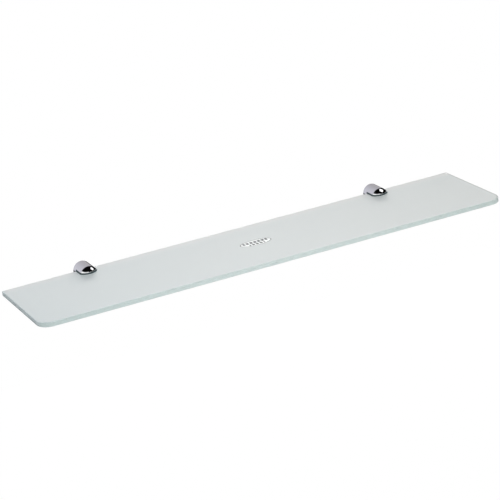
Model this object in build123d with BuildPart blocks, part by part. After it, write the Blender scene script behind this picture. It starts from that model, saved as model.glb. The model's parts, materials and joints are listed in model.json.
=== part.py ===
from build123d import *
from math import asin, cos, sin, sqrt
import os

os.makedirs("parts", exist_ok=True)

# Frosted glass wall shelf held by two round clamp brackets.
# Frame: origin on the wall plane, midway between the brackets, at the height of their axes.
# +X runs along the shelf to the right, +Y points into the wall, +Z is up.

# Glass panel
glass_length = 600.0
glass_depth = 140.0
glass_thickness = 6.0
glass_corner_radius = 16.0  # the two front corners; the rear corners stay square
glass_arris = 0.5  # ground bevel along every top and bottom edge

# Oval label on the top of the glass
label_length = 42.0
label_width = 22.0
label_thickness = 0.15
label_setback = 66.0  # rear edge of the glass to the middle of the label

# Round clamp barrels
bracket_spacing = 392.0
jaw_thickness = 7.1  # metal above and below the slot, on the axis
jaw_length = 15.0  # rear edge of the glass to the rim where the crowned front starts
web_thickness = 2.7  # metal between the slot and the socket of the wall plate
crown_height = 6.7  # rim to the tip of the crowned front
wall_end_chamfer = 0.4
jaw_edge_round = 0.8
rim_extra_round = 0.4  # the rim is rounder than the jaw edges, whose round runs on across it

# Soft liners between the metal and the glass
pad_thickness = 0.8
pad_overhang = 0.5  # how far the pads stand out of the outline of the jaws
buffer_thickness = 1.0
buffer_width = 15.0

# Wall plate, a round boss inside the rear of the barrel
plate_radius = 6.5
plate_thickness = 6.0
plate_clearance = 0.15  # radial, in the socket of the barrel
plate_front_gap = 0.3  # between the boss and the floor of its socket
plate_chamfer = 0.3
wall_hole_radius = 2.25  # clears a 4 mm countersunk wood screw
countersink_radius = 4.3
groove_depth = 1.2  # V groove of 90 degrees round the middle, for the lock screw

# Lock screw, M4 with a cone point
lock_radius = 2.0
lock_tip_radius = 0.6
lock_seat_gap = 0.07
lock_socket_flats = 2.0
lock_socket_depth = 1.8

# Clamp screw, M5 with a dog point, and the shoe that it carries
clamp_radius = 2.5
clamp_socket_flats = 2.5
clamp_socket_depth = 2.4
dog_radius = 1.5
dog_length = 1.2
dog_end_gap = 0.2
shoe_radius = 3.6
shoe_thickness = 2.4
shoe_chamfer = 0.3
shoe_clearance = 0.3  # radial, in the recess of the jaw and in the lower pad
shoe_travel = 1.5  # how far the shoe drops when the screw is undone
shoe_floor_gap = 0.2  # left below the shoe when it is fully down
pin_clearance = 0.05  # radial, screws in their holes and the dog point in the shoe
screw_recess = 0.4  # lower end of both screws, inside the barrel
screw_chamfer = 0.3

# Places that follow from the sizes above
socket_radius = plate_radius + plate_clearance
socket_depth = plate_thickness + plate_front_gap
slot_back = -(socket_depth + web_thickness)
glass_rear = slot_back - buffer_thickness
glass_half = glass_thickness / 2
slot_half = glass_half + pad_thickness
barrel_radius = slot_half + jaw_thickness
barrel_rim = glass_rear - jaw_length
barrel_tip = barrel_rim - crown_height
crown_radius = (barrel_radius**2 + crown_height**2) / (2 * crown_height)
lock_y = -plate_thickness / 2
lock_tip = -(plate_radius - groove_depth + lock_tip_radius + lock_seat_gap)
clamp_y = (glass_rear + barrel_rim) / 2
shoe_bottom = -(glass_half + shoe_thickness)
recess_floor = shoe_bottom - shoe_travel - shoe_floor_gap
screw_end = -(barrel_radius - screw_recess)


def upright(x, y):
    """Plane through an upright axis at x, y: its first axis is +X and its second is +Z."""
    return Plane(origin=(x, y, 0), x_dir=(1, 0, 0), z_dir=(0, -1, 0))


def flat(x, y, z):
    """Level plane at x, y, z, facing up."""
    return Plane(origin=(x, y, z), x_dir=(1, 0, 0), z_dir=(0, 0, 1))


def barrel_section(overhang):
    """Half section of the barrel: X is its radius, Y runs along its axis. The outside grows by overhang."""
    radius = barrel_radius + overhang
    bulge = crown_radius + overhang
    centre = barrel_tip + crown_radius
    rim = centre - sqrt(bulge**2 - radius**2)
    half_angle = asin(radius / bulge) / 2
    with BuildSketch() as section:
        with BuildLine():
            Polyline(
                (0, centre - bulge),
                (0, 0),
                (radius - wall_end_chamfer, 0),
                (radius, -wall_end_chamfer),
                (radius, rim),
            )
            ThreePointArc(
                (radius, rim),
                (bulge * sin(half_angle), centre - bulge * cos(half_angle)),
                (0, centre - bulge),
            )
        make_face()
    return section.sketch


body_section = barrel_section(0)
pad_section = barrel_section(pad_overhang)

# Glass panel
with BuildPart() as glass_panel:
    with BuildSketch(flat(0, glass_rear - glass_depth / 2, -glass_half)):
        Rectangle(glass_length, glass_depth)
    extrude(amount=glass_thickness)
    fillet(glass_panel.edges().filter_by(Axis.Z).group_by(Axis.Y)[0], glass_corner_radius)
    chamfer(glass_panel.faces().filter_by(Axis.Z).edges(), glass_arris)
glass_panel.part.label = "glass_panel"
export_step(glass_panel.part, "parts/glass_panel.step")

# Oval label, lying on the glass
with BuildPart() as oval_label:
    with BuildSketch(flat(0, glass_rear - label_setback, glass_half)):
        Ellipse(label_length / 2, label_width / 2)
    extrude(amount=label_thickness)
oval_label.part.label = "oval_label"
export_step(oval_label.part, "parts/oval_label.step")

for side, x in (("left", -bracket_spacing / 2), ("right", bracket_spacing / 2)):
    axis_of_barrel = Axis((x, 0, 0), (0, 1, 0))

    # Barrel: turned body, slot for the glass, socket for the wall plate, holes for the two screws
    with BuildPart() as barrel:
        with BuildSketch(flat(x, 0, 0)) as turned:
            add(body_section)
            rim_corner = turned.vertices().sort_by(Axis.X)[-2:].sort_by(Axis.Y)[0]
            fillet(rim_corner, jaw_edge_round + rim_extra_round)
        revolve(axis=axis_of_barrel)
        with BuildSketch(Plane(origin=(x, slot_back, 0), x_dir=(1, 0, 0), z_dir=(0, -1, 0))):
            Rectangle(4 * barrel_radius, 2 * slot_half)
        extrude(amount=slot_back - 2 * barrel_tip, mode=Mode.SUBTRACT)
        for level in (-slot_half, slot_half):
            jaw_edges = barrel.edges().filter_by_position(Axis.Z, level - 0.001, level + 0.001)
            fillet(jaw_edges.sort_by(Axis.Y)[:-1], jaw_edge_round)
        with BuildSketch(Plane(origin=(x, 0, 0), x_dir=(1, 0, 0), z_dir=(0, -1, 0))):
            Circle(socket_radius)
        extrude(amount=socket_depth, mode=Mode.SUBTRACT)
        with BuildSketch(flat(x, lock_y, -2 * barrel_radius)):
            Circle(lock_radius + pin_clearance)
        extrude(amount=2 * barrel_radius, mode=Mode.SUBTRACT)
        with BuildSketch(flat(x, clamp_y, -2 * barrel_radius)):
            Circle(clamp_radius + pin_clearance)
        extrude(amount=2 * barrel_radius, mode=Mode.SUBTRACT)
        with BuildSketch(flat(x, clamp_y, recess_floor)):
            Circle(shoe_radius + shoe_clearance)
        extrude(amount=-recess_floor, mode=Mode.SUBTRACT)
    barrel.part.label = f"{side}_barrel"
    export_step(barrel.part, f"parts/{side}_barrel.step")

    # Wall plate: boss with a countersunk hole and the groove that the lock screw grips
    with BuildPart() as wall_plate:
        with BuildSketch(flat(x, 0, 0)):
            with BuildLine():
                Polyline(
                    (wall_hole_radius, 0),
                    (plate_radius - plate_chamfer, 0),
                    (plate_radius, -plate_chamfer),
                    (plate_radius, lock_y + groove_depth),
                    (plate_radius - groove_depth, lock_y),
                    (plate_radius, lock_y - groove_depth),
                    (plate_radius, -plate_thickness + plate_chamfer),
                    (plate_radius - plate_chamfer, -plate_thickness),
                    (countersink_radius, -plate_thickness),
                    (wall_hole_radius, -plate_thickness + countersink_radius - wall_hole_radius),
                    close=True,
                )
            make_face()
        revolve(axis=axis_of_barrel)
    wall_plate.part.label = f"{side}_wall_plate"
    export_step(wall_plate.part, f"parts/{side}_wall_plate.step")

    # Lock screw: cone point in the groove, hexagon socket at its lower end
    with BuildPart() as lock_screw:
        with BuildSketch(upright(x, lock_y)):
            with BuildLine():
                Polyline(
                    (0, lock_tip),
                    (lock_tip_radius, lock_tip),
                    (lock_radius, lock_tip - (lock_radius - lock_tip_radius)),
                    (lock_radius, screw_end + screw_chamfer),
                    (lock_radius - screw_chamfer, screw_end),
                    (0, screw_end),
                    close=True,
                )
            make_face()
        revolve(axis=Axis((x, lock_y, 0), (0, 0, 1)))
        with BuildSketch(flat(x, lock_y, screw_end)):
            RegularPolygon(lock_socket_flats / 2, 6, major_radius=False)
        extrude(amount=lock_socket_depth, mode=Mode.SUBTRACT)
    lock_screw.part.label = f"{side}_lock_screw"
    export_step(lock_screw.part, f"parts/{side}_lock_screw.step")

    # Clamp screw: dog point inside the shoe, hexagon socket at its lower end
    with BuildPart() as clamp_screw:
        with BuildSketch(upright(x, clamp_y)):
            with BuildLine():
                Polyline(
                    (0, shoe_bottom + dog_length),
                    (dog_radius, shoe_bottom + dog_length),
                    (dog_radius, shoe_bottom),
                    (clamp_radius - screw_chamfer, shoe_bottom),
                    (clamp_radius, shoe_bottom - screw_chamfer),
                    (clamp_radius, screw_end + screw_chamfer),
                    (clamp_radius - screw_chamfer, screw_end),
                    (0, screw_end),
                    close=True,
                )
            make_face()
        revolve(axis=Axis((x, clamp_y, 0), (0, 0, 1)))
        with BuildSketch(flat(x, clamp_y, screw_end)):
            RegularPolygon(clamp_socket_flats / 2, 6, major_radius=False)
        extrude(amount=clamp_socket_depth, mode=Mode.SUBTRACT)
    clamp_screw.part.label = f"{side}_clamp_screw"
    export_step(clamp_screw.part, f"parts/{side}_clamp_screw.step")

    # Clamp shoe: disc under the glass, with a blind hole for the dog point
    with BuildPart() as clamp_shoe:
        with BuildSketch(flat(x, clamp_y, shoe_bottom)):
            Circle(shoe_radius)
        extrude(amount=shoe_thickness)
        chamfer(clamp_shoe.edges(), shoe_chamfer)
        with BuildSketch(flat(x, clamp_y, shoe_bottom)):
            Circle(dog_radius + pin_clearance)
        extrude(amount=dog_length + dog_end_gap, mode=Mode.SUBTRACT)
    clamp_shoe.part.label = f"{side}_clamp_shoe"
    export_step(clamp_shoe.part, f"parts/{side}_clamp_shoe.step")

    # Pads: liners on both jaws, a little wider than they are; the lower one has a hole for the shoe
    for place, bottom in (("upper", glass_half), ("lower", -slot_half)):
        with BuildPart() as pad:
            with BuildSketch(flat(x, 0, 0)):
                add(pad_section)
            revolve(axis=axis_of_barrel)
            with BuildSketch(flat(x, slot_back / 2 + barrel_tip, bottom)):
                Rectangle(4 * barrel_radius, slot_back - 2 * barrel_tip)
            extrude(amount=pad_thickness, mode=Mode.INTERSECT)
            if place == "lower":
                with BuildSketch(flat(x, clamp_y, bottom)):
                    Circle(shoe_radius + shoe_clearance)
                extrude(amount=pad_thickness, mode=Mode.SUBTRACT)
        pad.part.label = f"{side}_{place}_pad"
        export_step(pad.part, f"parts/{side}_{place}_pad.step")

    # Rear buffer: strip between the web of the barrel and the rear edge of the glass
    with BuildPart() as rear_buffer:
        with BuildSketch(flat(x, (slot_back + glass_rear) / 2, -glass_half)):
            Rectangle(buffer_width, buffer_thickness)
        extrude(amount=glass_thickness)
    rear_buffer.part.label = f"{side}_rear_buffer"
    export_step(rear_buffer.part, f"parts/{side}_rear_buffer.step")
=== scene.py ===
import json
from math import cos, pi, radians, sin, sqrt

import bmesh
import bpy
from mathutils import Matrix, Vector


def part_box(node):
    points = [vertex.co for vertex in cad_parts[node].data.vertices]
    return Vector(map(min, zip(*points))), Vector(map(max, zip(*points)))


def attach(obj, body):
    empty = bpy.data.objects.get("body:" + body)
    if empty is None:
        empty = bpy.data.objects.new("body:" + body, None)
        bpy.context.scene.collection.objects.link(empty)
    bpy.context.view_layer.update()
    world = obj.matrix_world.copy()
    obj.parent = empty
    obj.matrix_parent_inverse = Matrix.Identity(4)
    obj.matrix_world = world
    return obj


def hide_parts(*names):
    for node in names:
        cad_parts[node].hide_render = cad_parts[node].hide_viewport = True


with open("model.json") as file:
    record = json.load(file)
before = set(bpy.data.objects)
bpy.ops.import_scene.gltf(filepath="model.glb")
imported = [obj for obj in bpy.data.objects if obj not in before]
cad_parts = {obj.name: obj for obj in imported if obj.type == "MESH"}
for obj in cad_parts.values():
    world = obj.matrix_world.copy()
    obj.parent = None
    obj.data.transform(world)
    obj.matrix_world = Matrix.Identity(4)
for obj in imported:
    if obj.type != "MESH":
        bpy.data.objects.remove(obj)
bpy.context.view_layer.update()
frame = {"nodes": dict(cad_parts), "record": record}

nodes = frame["nodes"]

MM = 0.001


def middle(node):
    low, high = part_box(node)
    return (low + high) / 2


def half_size(node):
    low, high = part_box(node)
    return (high - low) / 2


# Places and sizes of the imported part, in metres
BRACKET_X = middle("right_barrel").x
BARREL_RADIUS = half_size("right_barrel").z
GLASS_REAR_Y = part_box("glass_panel")[1].y
GLASS_HALF = half_size("glass_panel").z
GLASS_MIDDLE_Y = middle("glass_panel").y
GLASS_HALF_LENGTH = half_size("glass_panel").x
GLASS_HALF_DEPTH = half_size("glass_panel").y
GLASS_CORNER = 16 * MM
RIM_SHADE = (0.8 * MM, 2.4 * MM)  # where the painted dark line inside the outline of the glass fades
REAR_LIGHT = (3 * MM, 19 * MM)  # where the painted light for the light that enters the rear edge fades
END_FOOT_SHADE = (1.4 * MM, 2.4 * MM)  # where the painted shade along the foot of the ends fades, above the underside
SLOT_BACK_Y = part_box("right_upper_pad")[1].y
PAD_THICKNESS = 2 * half_size("right_upper_pad").z
BUFFER_WIDTH = 2 * half_size("right_rear_buffer").x
CLAMP_Y = middle("right_clamp_screw").y
LOCK_Y = middle("right_lock_screw").y
LABEL_Y = middle("oval_label").y
LABEL_HALF_LENGTH = half_size("oval_label").x
LABEL_HALF_WIDTH = half_size("oval_label").y
OVAL_LINE_INSET = 1.0 * MM  # from the rim of the label to the middle of its line
OVAL_LINE_HALF = (0.45 * MM, 0.55 * MM)  # half width of the line, with its soft edge
DASH_STEP = 5 * MM
DASH_HALF = 1.7 * MM
DASH_BLUR = 0.1 * MM
DASH_ROWS = (  # place across the label, half height and half length of each row
    (2.4 * MM, 2.9 * MM, 16 * MM),
    (-4.9 * MM, 2.0 * MM, 10 * MM),
)
JAW_LENGTH = 15 * MM  # rear edge of the glass to the rim of the crown
CROWN_HEIGHT = 6.7 * MM
CROWN_RADIUS = (BARREL_RADIUS**2 + CROWN_HEIGHT**2) / (2 * CROWN_HEIGHT)
CROWN_CENTRE_Y = GLASS_REAR_Y - JAW_LENGTH - CROWN_HEIGHT + CROWN_RADIUS
PAD_OVERHANG = 0.5 * MM  # how far the liners stand out of the jaws
SHOE_HOLE_RADIUS = 3.9 * MM
SIDES = (("left", -BRACKET_X), ("right", BRACKET_X))


class Nodes:
    """Short calls that add nodes to a tree; each returns an output socket."""

    def __init__(self, tree):
        self.tree = tree
        self.place = self.node("ShaderNodeTexCoord")

    def node(self, kind, **settings):
        made = self.tree.nodes.new(kind)
        for key, value in settings.items():
            setattr(made, key, value)
        return made

    def join(self, source, target):
        """Links a node's output, or sets a plain value, on an input."""
        if isinstance(source, bpy.types.NodeSocket):
            self.tree.links.new(source, target)
        else:
            target.default_value = source

    def math(self, operation, a, b=0.0, clamp=False):
        made = self.node("ShaderNodeMath", operation=operation, use_clamp=clamp)
        self.join(a, made.inputs[0])
        self.join(b, made.inputs[1])
        return made.outputs[0]

    def scaled(self, scale):
        """Object coordinates, stretched by a factor for each axis."""
        made = self.node("ShaderNodeVectorMath", operation="MULTIPLY")
        self.join(self.place.outputs["Object"], made.inputs[0])
        made.inputs[1].default_value = scale
        return made.outputs[0]

    def parts(self, vector):
        made = self.node("ShaderNodeSeparateXYZ")
        self.join(vector, made.inputs[0])
        return made.outputs

    def noise(self, scale, detail=3.0, rough=0.5, vector=None, along=None):
        """Noise from 0 to 1; along gives a value to run along instead of a place."""
        made = self.node("ShaderNodeTexNoise", noise_dimensions="3D" if along is None else "1D")
        if along is None:
            self.join(vector or self.place.outputs["Object"], made.inputs["Vector"])
        else:
            self.join(along, made.inputs["W"])
        made.inputs["Scale"].default_value = scale
        made.inputs["Detail"].default_value = detail
        made.inputs["Roughness"].default_value = rough
        return made.outputs["Fac"]

    def span(self, value, low, high, start=0.0, end=1.0, smooth=False):
        """Maps start..end of a value to low..high."""
        made = self.node("ShaderNodeMapRange", clamp=True)
        if smooth:
            made.interpolation_type = "SMOOTHSTEP"
        for target, source in zip(made.inputs[:5], (value, start, end, low, high)):
            self.join(source, target)
        return made.outputs[0]

    def mix(self, factor, a, b):
        made = self.node("ShaderNodeMix", data_type="RGBA")
        self.join(factor, made.inputs[0])
        self.join(a, made.inputs[6])
        self.join(b, made.inputs[7])
        return made.outputs[2]

    def blend(self, factor, a, b):
        made = self.node("ShaderNodeMix", data_type="FLOAT")
        self.join(factor, made.inputs[0])
        self.join(a, made.inputs[2])
        self.join(b, made.inputs[3])
        return made.outputs[0]


class Surface(Nodes):
    """A material around one Principled BSDF."""

    def __init__(self, name, **values):
        self.material = bpy.data.materials.new(name)
        self.material.use_nodes = True
        super().__init__(self.material.node_tree)
        self.bsdf = self.tree.nodes["Principled BSDF"]
        self.set(**values)

    def set(self, **values):
        for key, value in values.items():
            self.join(value, self.bsdf.inputs[key.replace("_", " ")])

    def bump(self, height, distance, strength=1.0):
        made = self.node("ShaderNodeBump")
        self.join(height, made.inputs["Height"])
        self.join(distance, made.inputs["Distance"])
        self.join(strength, made.inputs["Strength"])
        self.set(Normal=made.outputs[0])


def grey(value):
    return (value, value, value, 1.0)


# Satin etched glass: milky faces with a fine grain, a painted pale glow near the rear edge for the light
# that enters there, and a painted dark line inside the right end for the ground end seen through the face;
# ground edges with the green of glass, deeper towards the corners and deepest at the rear, a raw edge's
# green deepened as painted shade against the low rear lamp; the ends are paler, with painted shade along
# their foot
def frosted_glass():
    s = Surface("frosted_glass", IOR=1.5)
    along, rearward, upright = s.parts(s.place.outputs["Normal"])
    upright = s.math("ABSOLUTE", upright)
    face = s.span(upright, 0.0, 1.0, 0.85, 0.95)
    arris = s.span(upright, 0.0, 1.0, 0.3, 0.6)
    end = s.span(s.math("ABSOLUTE", along), 0.0, 1.0, 0.85, 0.98, smooth=True)
    x, y, level = s.parts(s.place.outputs["Object"])
    cloud = s.noise(9.0, 2.0)
    milky = s.mix(cloud, (0.73, 0.755, 0.75, 1.0), (0.755, 0.77, 0.765, 1.0))
    from_rear = s.math("SUBTRACT", GLASS_REAR_Y, y)
    # painted light: a paler, warmer tone near the rear edge for the light that enters it
    rear = s.span(from_rear, 0.6, 0.0, *REAR_LIGHT, smooth=True)
    milky = s.mix(rear, milky, (0.80, 0.79, 0.785, 1.0))
    # painted shade: a dark line inside the right end for the ground end seen through the face
    rim = s.span(rim_distance(s), 1.0, 0.0, *RIM_SHADE, smooth=True)
    right_end = s.span(x, 0.0, 1.0, GLASS_HALF_LENGTH - GLASS_CORNER, GLASS_HALF_LENGTH)
    rim = s.math("MULTIPLY", rim, right_end)
    milky = s.mix(rim, milky, (0.45, 0.46, 0.45, 1.0))
    # painted shade: a dark band along the foot of the ends
    foot_shade = s.span(level, 1.0, 0.0, END_FOOT_SHADE[0] - GLASS_HALF, END_FOOT_SHADE[1] - GLASS_HALF)
    pale = s.mix(foot_shade, (0.79, 0.845, 0.85, 1.0), (0.47, 0.52, 0.525, 1.0))
    outer = s.span(s.math("ABSOLUTE", x), 0.0, 1.0, GLASS_HALF_LENGTH / 3, GLASS_HALF_LENGTH)
    green = s.mix(outer, (0.77, 0.855, 0.83, 1.0), (0.67, 0.76, 0.735, 1.0))
    edge = s.mix(end, s.mix(arris, green, (0.81, 0.87, 0.86, 1.0)), pale)
    # the rear edge gets a deep green: a raw edge's colour, deepened as painted shade against the low rear
    # lamp
    edge = s.mix(s.span(rearward, 0.0, 1.0, 0.4, 0.6), edge, (0.45, 0.56, 0.53, 1.0))
    s.set(Base_Color=s.mix(face, edge, milky), Transmission_Weight=s.blend(face, 0.18, 0.2))
    grain = s.noise(2600.0, 2.0)
    ground = s.noise(1.0, 2.0, vector=s.scaled((60.0, 60.0, 5200.0)))
    s.set(Roughness=s.blend(face, s.span(ground, 0.2, 0.36), s.span(grain, 0.32, 0.42)))
    s.bump(s.blend(face, ground, grain), 0.02 * MM, 0.35)
    return s.material


def rim_distance(s):
    """How far a point of the glass lies inside its outline, with the round front corners."""
    x, y, _ = s.parts(s.place.outputs["Object"])
    at_front = s.math("LESS_THAN", y, GLASS_MIDDLE_Y)
    radius = s.math("MULTIPLY", at_front, GLASS_CORNER)
    beyond = []
    for offset, half in (
        (s.math("ABSOLUTE", x), GLASS_HALF_LENGTH),
        (s.math("ABSOLUTE", s.math("SUBTRACT", y, GLASS_MIDDLE_Y)), GLASS_HALF_DEPTH),
    ):
        beyond.append(s.math("ADD", s.math("SUBTRACT", offset, half), radius))
    squares = [s.math("POWER", s.math("MAXIMUM", value, 0.0), 2.0) for value in beyond]
    outside = s.math("SQRT", s.math("ADD", *squares))
    inside = s.math("MINIMUM", s.math("MAXIMUM", *beyond), 0.0)
    return s.math("SUBTRACT", radius, s.math("ADD", outside, inside))


# White film with a thin printed line round its rim and two rows of plain dashes
def label_film():
    s = Surface("label_film")
    x, y, _ = s.parts(s.place.outputs["Object"])
    across = s.math("SUBTRACT", y, LABEL_Y)
    u = s.math("DIVIDE", x, LABEL_HALF_LENGTH)
    v = s.math("DIVIDE", across, LABEL_HALF_WIDTH)
    oval = s.math("SQRT", s.math("ADD", s.math("POWER", u, 2.0), s.math("POWER", v, 2.0)))
    slope_u = s.math("POWER", s.math("DIVIDE", u, LABEL_HALF_LENGTH), 2.0)
    slope_v = s.math("POWER", s.math("DIVIDE", v, LABEL_HALF_WIDTH), 2.0)
    slope = s.math("DIVIDE", s.math("SQRT", s.math("ADD", slope_u, slope_v)), oval)
    inside = s.math("DIVIDE", s.math("SUBTRACT", 1.0, oval), slope)
    off_line = s.math("ABSOLUTE", s.math("SUBTRACT", inside, OVAL_LINE_INSET))
    ink = s.span(off_line, 1.0, 0.0, *OVAL_LINE_HALF)
    for level, half, reach in DASH_ROWS:
        off_row = s.math("ABSOLUTE", s.math("SUBTRACT", across, level))
        row = s.span(off_row, 1.0, 0.0, half, half + DASH_BLUR)
        within = s.math("LESS_THAN", s.math("ABSOLUTE", x), reach)
        dash = s.math("LESS_THAN", s.math("PINGPONG", x, DASH_STEP / 2), DASH_HALF)
        ink = s.math("MAXIMUM", ink, s.math("MULTIPLY", s.math("MULTIPLY", row, within), dash))
    fibre = s.noise(1400.0, 3.0)
    film = s.mix(fibre, (0.93, 0.935, 0.93, 1.0), (0.97, 0.97, 0.965, 1.0))
    s.set(Base_Color=s.mix(ink, film, grey(0.05)))
    s.set(Roughness=s.blend(ink, s.span(fibre, 0.34, 0.46), 0.3))
    s.bump(s.math("ADD", s.math("MULTIPLY", fibre, 0.3), ink), 0.01 * MM, 0.4)
    return s.material


# Polished chrome: nearly a mirror, with faint handling haze and the slight ripple of the plating
def chrome():
    s = Surface("chrome", Metallic=1.0)
    haze = s.noise(130.0, 4.0, 0.6)
    tint = s.noise(45.0, 2.0)
    s.set(Base_Color=s.mix(tint, (0.55, 0.553, 0.565, 1.0), (0.59, 0.59, 0.60, 1.0)))
    s.set(Roughness=s.span(haze, 0.025, 0.075, 0.3, 0.7))
    s.bump(s.noise(420.0, 1.0), 0.004 * MM, 0.25)
    return s.material


# Bright zinc on a turned part: fine rings round the axis of each barrel, a faint colour in the finish
def zinc_plate():
    s = Surface("zinc_plate", Metallic=1.0)
    x, _, z = s.parts(s.place.outputs["Object"])
    off_axis = s.math("SUBTRACT", s.math("ABSOLUTE", x), BRACKET_X)
    radius = s.math("SQRT", s.math("ADD", s.math("POWER", off_axis, 2.0), s.math("POWER", z, 2.0)))
    rings = s.noise(9000.0, 2.0, along=radius)
    film = s.noise(300.0, 3.0)
    s.set(Base_Color=s.mix(film, (0.60, 0.63, 0.68, 1.0), (0.70, 0.69, 0.64, 1.0)))
    s.set(Roughness=s.span(rings, 0.24, 0.42))
    s.bump(rings, 0.02 * MM, 0.5)
    return s.material


# Plain steel of the set screws, a little dull in the thread
def screw_steel():
    s = Surface("screw_steel", Metallic=1.0)
    spots = s.noise(1500.0, 3.0, 0.6)
    s.set(Base_Color=s.mix(spots, (0.40, 0.40, 0.41, 1.0), (0.52, 0.52, 0.53, 1.0)))
    s.set(Roughness=s.span(spots, 0.26, 0.44, 0.3, 0.7))
    s.bump(s.noise(1.0, 2.0, vector=s.scaled((900.0, 900.0, 9000.0))), 0.006 * MM, 0.4)
    return s.material


# Natural nylon: cream, slightly waxy, with the fine skin of a moulding
def nylon():
    s = Surface("nylon", Subsurface_Weight=0.25, Subsurface_Scale=0.8 * MM)
    s.bsdf.inputs["Subsurface Radius"].default_value = (1.0, 0.9, 0.75)
    cloud = s.noise(420.0, 3.0)
    s.set(Base_Color=s.mix(cloud, (0.84, 0.82, 0.76, 1.0), (0.90, 0.89, 0.85, 1.0)))
    s.set(Roughness=s.span(cloud, 0.42, 0.55))
    s.bump(s.noise(5200.0, 2.0), 0.01 * MM, 0.4)
    return s.material


# Soft dark vinyl of the liners, with a fine leathery skin
def liner():
    s = Surface("liner", Specular_IOR_Level=0.4)
    skin = s.noise(3600.0, 3.0, 0.6)
    bloom = s.noise(260.0, 2.0)
    s.set(Base_Color=s.mix(bloom, (0.055, 0.085, 0.09, 1.0), (0.085, 0.12, 0.125, 1.0)))
    s.set(Roughness=s.span(skin, 0.48, 0.66))
    s.bump(skin, 0.02 * MM, 0.5)
    return s.material


finish = {
    "frosted_glass": frosted_glass(),
    "label_film": label_film(),
    "chrome": chrome(),
    "zinc_plate": zinc_plate(),
    "screw_steel": screw_steel(),
    "nylon": nylon(),
    "liner": liner(),
}

slot_of_node = {row["node"]: row["material_slot"] for row in frame["record"]["subparts"]}
for name, node in nodes.items():
    node.material_slots[0].material = finish[slot_of_node[name]]


def new_piece(name, mesh, slot, body, *stands_for):
    """A piece of the object: its finish, the body it moves with and the nodes it stands for."""
    mesh.materials.append(finish[slot])
    piece = bpy.data.objects.new(name, mesh)
    bpy.context.scene.collection.objects.link(piece)
    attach(piece, body)
    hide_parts(*stands_for)


def mesh_of(bm, name, sharp_angle):
    """Turns a finished bmesh into a mesh that is smooth up to an angle."""
    bmesh.ops.recalc_face_normals(bm, faces=bm.faces)
    mesh = bpy.data.meshes.new(name)
    bm.to_mesh(mesh)
    bm.free()
    mesh.shade_smooth()
    mesh.set_sharp_from_angle(angle=radians(sharp_angle))
    return mesh


EDGE_STEPS = 5
LINER_EDGE = 0.16 * MM  # round of the jaw liners' free edges
STRIP_EDGE = 0.36 * MM  # round of the rear strips' edges
LINER_GAP = 0.01 * MM  # keeps their faces off the metal and the glass


def rounded_layers(thickness):
    """Heights from the middle and insets of the layers of a slab with a round edge."""
    half = thickness / 2 - LINER_GAP
    layers = []
    for step in range(EDGE_STEPS + 1):
        turn = pi / 2 * step / EDGE_STEPS
        layers.append((-half + LINER_EDGE * (1 - sin(turn)), LINER_EDGE * (1 - cos(turn))))
    layers.reverse()
    return layers + [(-height, inset) for height, inset in reversed(layers)]


ARC_POINTS = 40
REAR_CORNER = 0.8 * MM
REAR_POINTS = 5


def jaw_outline(x, height, inset):
    """Outline of a jaw liner at a height: straight rear and sides, crowned front."""
    radius = BARREL_RADIUS + PAD_OVERHANG - inset
    bulge = CROWN_RADIUS + PAD_OVERHANG - inset
    half = sqrt(radius**2 - height**2)
    rear = SLOT_BACK_Y - LINER_GAP - inset
    corner = REAR_CORNER - inset
    points = []
    for step in range(ARC_POINTS + 1):
        across = half * (2 * step / ARC_POINTS - 1)
        points.append((x + across, CROWN_CENTRE_Y - sqrt(bulge**2 - across**2 - height**2), height))
    for side, first in ((1, 0.0), (-1, pi / 2)):
        for step in range(REAR_POINTS + 1):
            turn = first + pi / 2 * step / REAR_POINTS
            centre = x + side * (half - corner)
            points.append((centre + corner * cos(turn), rear - corner + corner * sin(turn), height))
    return points


def circle_outline(x, y, height, radius, count=48):
    turns = (2 * pi * step / count for step in range(count))
    return [(x + radius * cos(turn), y + radius * sin(turn), height) for turn in turns]


def skin_loops(bm, outlines):
    """Joins a stack of closed outlines into a wall, and returns its first and last loops of edges."""
    rings = [[bm.verts.new(point) for point in outline] for outline in outlines]
    for lower, upper in zip(rings, rings[1:]):
        for a in range(len(lower)):
            b = (a + 1) % len(lower)
            bm.faces.new((lower[a], lower[b], upper[b], upper[a]))
    ends = []
    for ring in (rings[0], rings[-1]):
        pairs = zip(ring, ring[1:] + ring[:1])
        ends.append([bm.edges.get(pair) for pair in pairs])
    return ends


def jaw_liner(name, x, level, hole):
    """A vinyl liner on a jaw, with a rolled edge; the lower one has a round hole for the shoe."""
    bm = bmesh.new()
    layers = rounded_layers(PAD_THICKNESS)
    walls = [skin_loops(bm, [jaw_outline(x, level + up, inset) for up, inset in layers])]
    if hole:
        rounds = [
            circle_outline(x, CLAMP_Y, level + up, SHOE_HOLE_RADIUS + inset)
            for up, inset in layers
        ]
        walls.append(skin_loops(bm, rounds))
    for end in (0, 1):
        edges = [edge for wall in walls for edge in wall[end]]
        bmesh.ops.triangle_fill(bm, use_beauty=True, edges=edges, normal=(0, 0, 2 * end - 1))
    return mesh_of(bm, name, 50)


def rear_strip(name, x):
    """The strip behind the glass: a bar with rolled edges all round."""
    bm = bmesh.new()
    bmesh.ops.create_cube(bm, size=1.0)
    thickness = SLOT_BACK_Y - GLASS_REAR_Y - 2 * LINER_GAP
    bmesh.ops.scale(bm, vec=(BUFFER_WIDTH, thickness, 2 * GLASS_HALF), verts=bm.verts)
    bmesh.ops.translate(bm, vec=(x, (SLOT_BACK_Y + GLASS_REAR_Y) / 2, 0), verts=bm.verts)
    bmesh.ops.bevel(
        bm,
        geom=bm.edges[:],
        offset=STRIP_EDGE,
        segments=EDGE_STEPS,
        profile=0.5,
        affect="EDGES",
    )
    return mesh_of(bm, name, 50)


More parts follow.
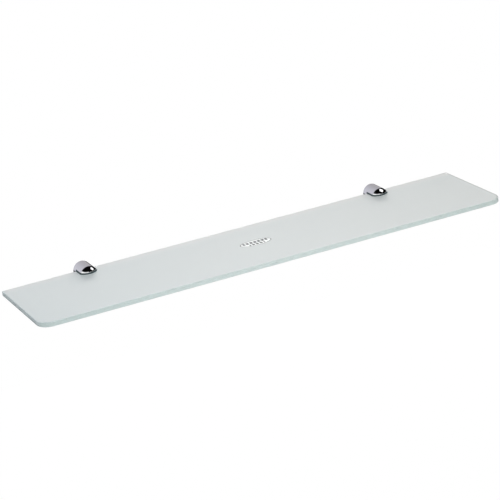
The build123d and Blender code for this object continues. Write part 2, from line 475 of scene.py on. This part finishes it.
SCREW_COLUMNS = 60
ROWS_PER_TURN = 12
CREST_SHARE = 0.15  # of the pitch, flat at the top of the thread
FLANK_SHARE = 0.65  # of the pitch, both slopes
DEPTH_SHARE = 0.6  # of the pitch, from crest to root
SCREW_CHAMFER = 0.3 * MM
SOCKET_MOUTH = 0.12 * MM  # chamfer round the hexagon

# Radius and height of the turned point of each screw in mm, from its tip down to the thread
CLAMP_POINT = ((1.35, -4.2), (1.5, -4.35), (1.5, -5.4))
LOCK_POINT = ((0.5, -5.97), (0.6, -6.02), (1.7, -7.12))


def thread_radius(radius, pitch, turn, height):
    """Radius of a right-hand thread with flat crests and roots."""
    phase = (height / pitch - turn / (2 * pi)) % 1.0
    down = (abs(2 * phase - 1) - CREST_SHARE) / FLANK_SHARE
    return radius - DEPTH_SHARE * pitch * min(max(down, 0.0), 1.0)


def hexagon_radius(flats, turn):
    return flats / 2 / cos((turn + pi / 6) % (pi / 3) - pi / 6)


def set_screw(kind, point, radius, pitch, flats, depth):
    """A set screw as one skin of rings: point, thread, lower end, hexagon socket."""
    point = [(r * MM, z * MM) for r, z in point]
    thread_top = point[-1][1]
    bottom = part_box(f"right_{kind}")[0].z
    turns = [2 * pi * column / SCREW_COLUMNS for column in range(SCREW_COLUMNS)]
    rings = [[(r, z) for _ in turns] for r, z in point]
    rows = int((thread_top - bottom) / pitch * ROWS_PER_TURN)
    for row in range(rows + 1):
        z = thread_top + (bottom - thread_top) * row / rows
        limit = radius - SCREW_CHAMFER + min(thread_top - z, z - bottom)
        rings.append([(min(thread_radius(radius, pitch, turn, z), limit), z) for turn in turns])
    corner = flats / sqrt(3) + SOCKET_MOUTH
    rings.append([(corner, bottom) for _ in turns])
    for z in (bottom + SOCKET_MOUTH, bottom + depth):
        rings.append([(hexagon_radius(flats, turn), z) for turn in turns])
    bm = bmesh.new()
    skins = [
        [bm.verts.new((r * cos(turn), r * sin(turn), z)) for (r, z), turn in zip(ring, turns)]
        for ring in rings
    ]
    for upper, lower in zip(skins, skins[1:]):
        for a in range(SCREW_COLUMNS):
            b = (a + 1) % SCREW_COLUMNS
            bm.faces.new((upper[a], lower[a], lower[b], upper[b]))
    caps = ((skins[0], point[0][1]), (skins[-1], bottom + depth + flats / 6))
    for ring, z in caps:
        tip = bm.verts.new((0, 0, z))
        for a in range(SCREW_COLUMNS):
            bm.faces.new((ring[a], ring[(a + 1) % SCREW_COLUMNS], tip))
    return mesh_of(bm, kind, 35)


def clamp_screw_mesh():
    return set_screw(
        "clamp_screw", CLAMP_POINT, radius=2.5 * MM, pitch=0.8 * MM, flats=2.5 * MM, depth=2.4 * MM
    )


def lock_screw_mesh():
    return set_screw(
        "lock_screw", LOCK_POINT, radius=2 * MM, pitch=0.7 * MM, flats=2 * MM, depth=1.8 * MM
    )


for side, x in SIDES:
    for place in ("upper", "lower"):
        pad = f"{side}_{place}_pad"
        mesh = jaw_liner(f"{side}_{place}_liner", x, middle(pad).z, place == "lower")
        new_piece(f"{side}_{place}_liner", mesh, "liner", "brackets", pad)
    mesh = rear_strip(f"{side}_rear_strip", x)
    new_piece(f"{side}_rear_strip", mesh, "liner", "brackets", f"{side}_rear_buffer")
    for kind, y, body, make in (
        ("clamp", CLAMP_Y, f"{side}_screw", clamp_screw_mesh),
        ("lock", LOCK_Y, "brackets", lock_screw_mesh),
    ):
        mesh = make()
        mesh.transform(Matrix.Translation((x, y, 0)))
        new_piece(f"{side}_{kind}_set_screw", mesh, "screw_steel", body, f"{side}_{kind}_screw")


# Camera: the photograph's angle, tilt and lens
CAMERA_AT = Vector((-0.892721, -2.252946, 0.812093))
CAMERA_AZIMUTH = radians(-22.1060)
CAMERA_ELEVATION = radians(19.1587)
CAMERA_ROLL = radians(7.6528)
back = Vector(
    (
        sin(CAMERA_AZIMUTH) * cos(CAMERA_ELEVATION),
        -cos(CAMERA_AZIMUTH) * cos(CAMERA_ELEVATION),
        sin(CAMERA_ELEVATION),
    )
)
level_right = (-back).cross(Vector((0, 0, 1))).normalized()
level_up = back.cross(level_right)
right = level_right * cos(CAMERA_ROLL) - level_up * sin(CAMERA_ROLL)
up = level_up * cos(CAMERA_ROLL) + level_right * sin(CAMERA_ROLL)
camera_data = bpy.data.cameras.new("camera")
camera_data.lens = 149.701
camera_data.sensor_width = 36.0
camera_data.clip_end = 100.0
camera = bpy.data.objects.new("camera", camera_data)
bpy.context.scene.collection.objects.link(camera)
camera.matrix_world = Matrix.Translation(CAMERA_AT) @ Matrix((right, up, back)).transposed().to_4x4()
bpy.context.scene.camera = camera


# Floor: plain white, seen as white, and open from below
FLOOR_Z = -0.6
FLOOR_HALF = 1.15
FLOOR_GLOW = 0.97  # share of plain white where the floor is seen
mesh = bpy.data.meshes.new("floor")
corners = [(-1, -1), (1, -1), (1, 1), (-1, 1)]
mesh.from_pydata([(a * FLOOR_HALF, b * FLOOR_HALF, FLOOR_Z) for a, b in corners], [], [(0, 1, 2, 3)])
floor = bpy.data.objects.new("floor", mesh)
bpy.context.scene.collection.objects.link(floor)


def floor_finish():
    s = Surface("floor", Base_Color=grey(0.95), Roughness=0.9, Specular_IOR_Level=0.0)
    path = s.node("ShaderNodeLightPath").outputs
    seen = s.math("MAXIMUM", path["Is Camera Ray"], path["Is Glossy Ray"])
    seen = s.math("MAXIMUM", seen, path["Is Transmission Ray"])
    glow = s.node("ShaderNodeEmission")
    glow.inputs["Color"].default_value = grey(1.0)
    plain = s.node("ShaderNodeMixShader")
    s.join(s.math("MULTIPLY", seen, FLOOR_GLOW), plain.inputs[0])
    s.join(s.bsdf.outputs[0], plain.inputs[1])
    s.join(glow.outputs[0], plain.inputs[2])
    one_sided = s.node("ShaderNodeMixShader")
    s.join(s.node("ShaderNodeNewGeometry").outputs["Backfacing"], one_sided.inputs[0])
    s.join(plain.outputs[0], one_sided.inputs[1])
    s.join(s.node("ShaderNodeBsdfTransparent").outputs[0], one_sided.inputs[2])
    s.join(one_sided.outputs[0], s.tree.nodes["Material Output"].inputs["Surface"])
    return s.material


mesh.materials.append(floor_finish())


# World: white where it is seen, a soft fill for the surfaces that is brighter near the horizon in front
# and at the sides; reflections show a pale wall behind that fades to the right, a low white strip in
# front and a dark room for the rest
FILL = (0.195, 0.24, 0.26, 1.0)
HORIZON = grey(1.5)
WALL_LEFT = (0.915, 0.91, 1.0, 1.0)
WALL_RIGHT = (0.60, 0.58, 0.605, 1.0)
STRIP_GLOW = grey(1.7)
DARK_ROOM = grey(0.003)

# Where the parts of that studio begin and end, by how far a ray points along an axis
WALL_REAR = (0.2, 0.5)  # Y: the wall comes in
WALL_END = (0.54, 0.6)  # X: its right end
WALL_FOOT = (-0.22, -0.14)  # Z: its lower edge
WALL_FADE = (-0.45, 0.42)  # X: from its left colour to its right one
CORNER_LEFT = (0.22, 0.30)  # X: the dark corner at the lower right of the wall
CORNER_TOP = (-0.10, 0.0)  # Z
STRIP_REAR = (0.0, 0.3)  # Y: the strip goes out
STRIP_TOP = (0.5, 0.62)  # Z: its upper edge, which falls to the right
STRIP_FALL = 0.9
HORIZON_BAND = (0.2, 0.32)  # Z: above and below the horizon
HORIZON_REAR = (0.3, 0.6)  # Y: the band goes out
world = bpy.data.worlds.new("studio")
world.use_nodes = True
bpy.context.scene.world = world
w = Nodes(world.node_tree)
path = w.node("ShaderNodeLightPath").outputs
toward = w.parts(w.place.outputs["Generated"])
corner = w.span(toward["X"], 0.0, 1.0, *CORNER_LEFT)
corner = w.math("MULTIPLY", corner, w.span(toward["Z"], 1.0, 0.0, *CORNER_TOP))
wall = w.span(toward["Y"], 0.0, 1.0, *WALL_REAR)
wall = w.math("MULTIPLY", wall, w.span(toward["X"], 1.0, 0.0, *WALL_END))
wall = w.math("MULTIPLY", wall, w.math("SUBTRACT", 1.0, corner))
wall = w.math("MULTIPLY", wall, w.span(toward["Z"], 0.1, 1.0, *WALL_FOOT))
wall_glow = w.mix(w.span(toward["X"], 0.0, 1.0, *WALL_FADE), WALL_LEFT, WALL_RIGHT)
fall = w.math("MULTIPLY", w.math("MAXIMUM", toward["X"], 0.0), STRIP_FALL)
strip = w.span(toward["Y"], 1.0, 0.0, *STRIP_REAR)
strip_height = w.math("ADD", toward["Z"], fall)
strip = w.math("MULTIPLY", strip, w.span(strip_height, 1.0, 0.0, *STRIP_TOP))
room = w.mix(strip, w.mix(wall, DARK_ROOM, wall_glow), STRIP_GLOW)
band = w.span(w.math("ABSOLUTE", toward["Z"]), 1.0, 0.0, *HORIZON_BAND)
band = w.math("MULTIPLY", band, w.span(toward["Y"], 1.0, 0.0, *HORIZON_REAR))
light = w.mix(path["Is Glossy Ray"], w.mix(band, FILL, HORIZON), room)
seen = w.math("MAXIMUM", path["Is Camera Ray"], path["Is Transmission Ray"])
w.join(w.mix(seen, light, grey(1.0)), w.tree.nodes["Background"].inputs["Color"])


def area_lamp(name, place, aim, size, power, colour=(1.0, 1.0, 1.0)):
    """A lamp that lights the part and isn't seen itself."""
    lamp = bpy.data.lights.new(name, "AREA")
    lamp.shape = "RECTANGLE"
    lamp.size, lamp.size_y = size
    lamp.energy = power
    lamp.color = colour
    made = bpy.data.objects.new(name, lamp)
    bpy.context.scene.collection.objects.link(made)
    made.location = place
    made.rotation_mode = "QUATERNION"
    made.rotation_quaternion = (Vector(aim) - Vector(place)).to_track_quat("-Z", "Y")
    made.visible_camera = False
    made.visible_transmission = False
    return made


# A wide low lamp behind, a soft one overhead, three small lamps above the front edge, cool on the left
# and warm on the right, and a softbox that shows only in reflections
for name, place, aim, size, power, colour in (
    ("rear_lamp", (2.2, 5.4, 1.25), (0.0, -0.08, 0.0), (5.0, 1.0), 612.0, (1.0, 0.965, 0.925)),
    ("top_lamp", (0.2, 0.1, 2.5), (0.0, -0.08, 0.0), (1.6, 1.2), 22.0, (1.0, 0.99, 0.975)),
    ("left_lamp", (-0.34, -0.26, 0.34), (-0.34, -0.1, 0.0), (0.3, 0.3), 0.20, (0.62, 0.86, 1.0)),
    ("middle_lamp", (0.0, -0.26, 0.34), (0.0, -0.1, 0.0), (0.3, 0.3), 0.40, (1.0, 0.97, 0.95)),
    ("right_lamp", (0.36, -0.26, 0.34), (0.36, -0.1, 0.0), (0.3, 0.3), 0.04, (1.0, 0.85, 0.30)),
):
    lamp = area_lamp(name, place, aim, size, power, colour)
    lamp.visible_glossy = False
softbox = area_lamp("softbox", (0.70, -0.26, 0.72), (0.0, -0.05, 0.0), (0.50, 0.56), 2.1)
softbox.visible_diffuse = False

bpy.context.scene.view_settings.view_transform = "Standard"
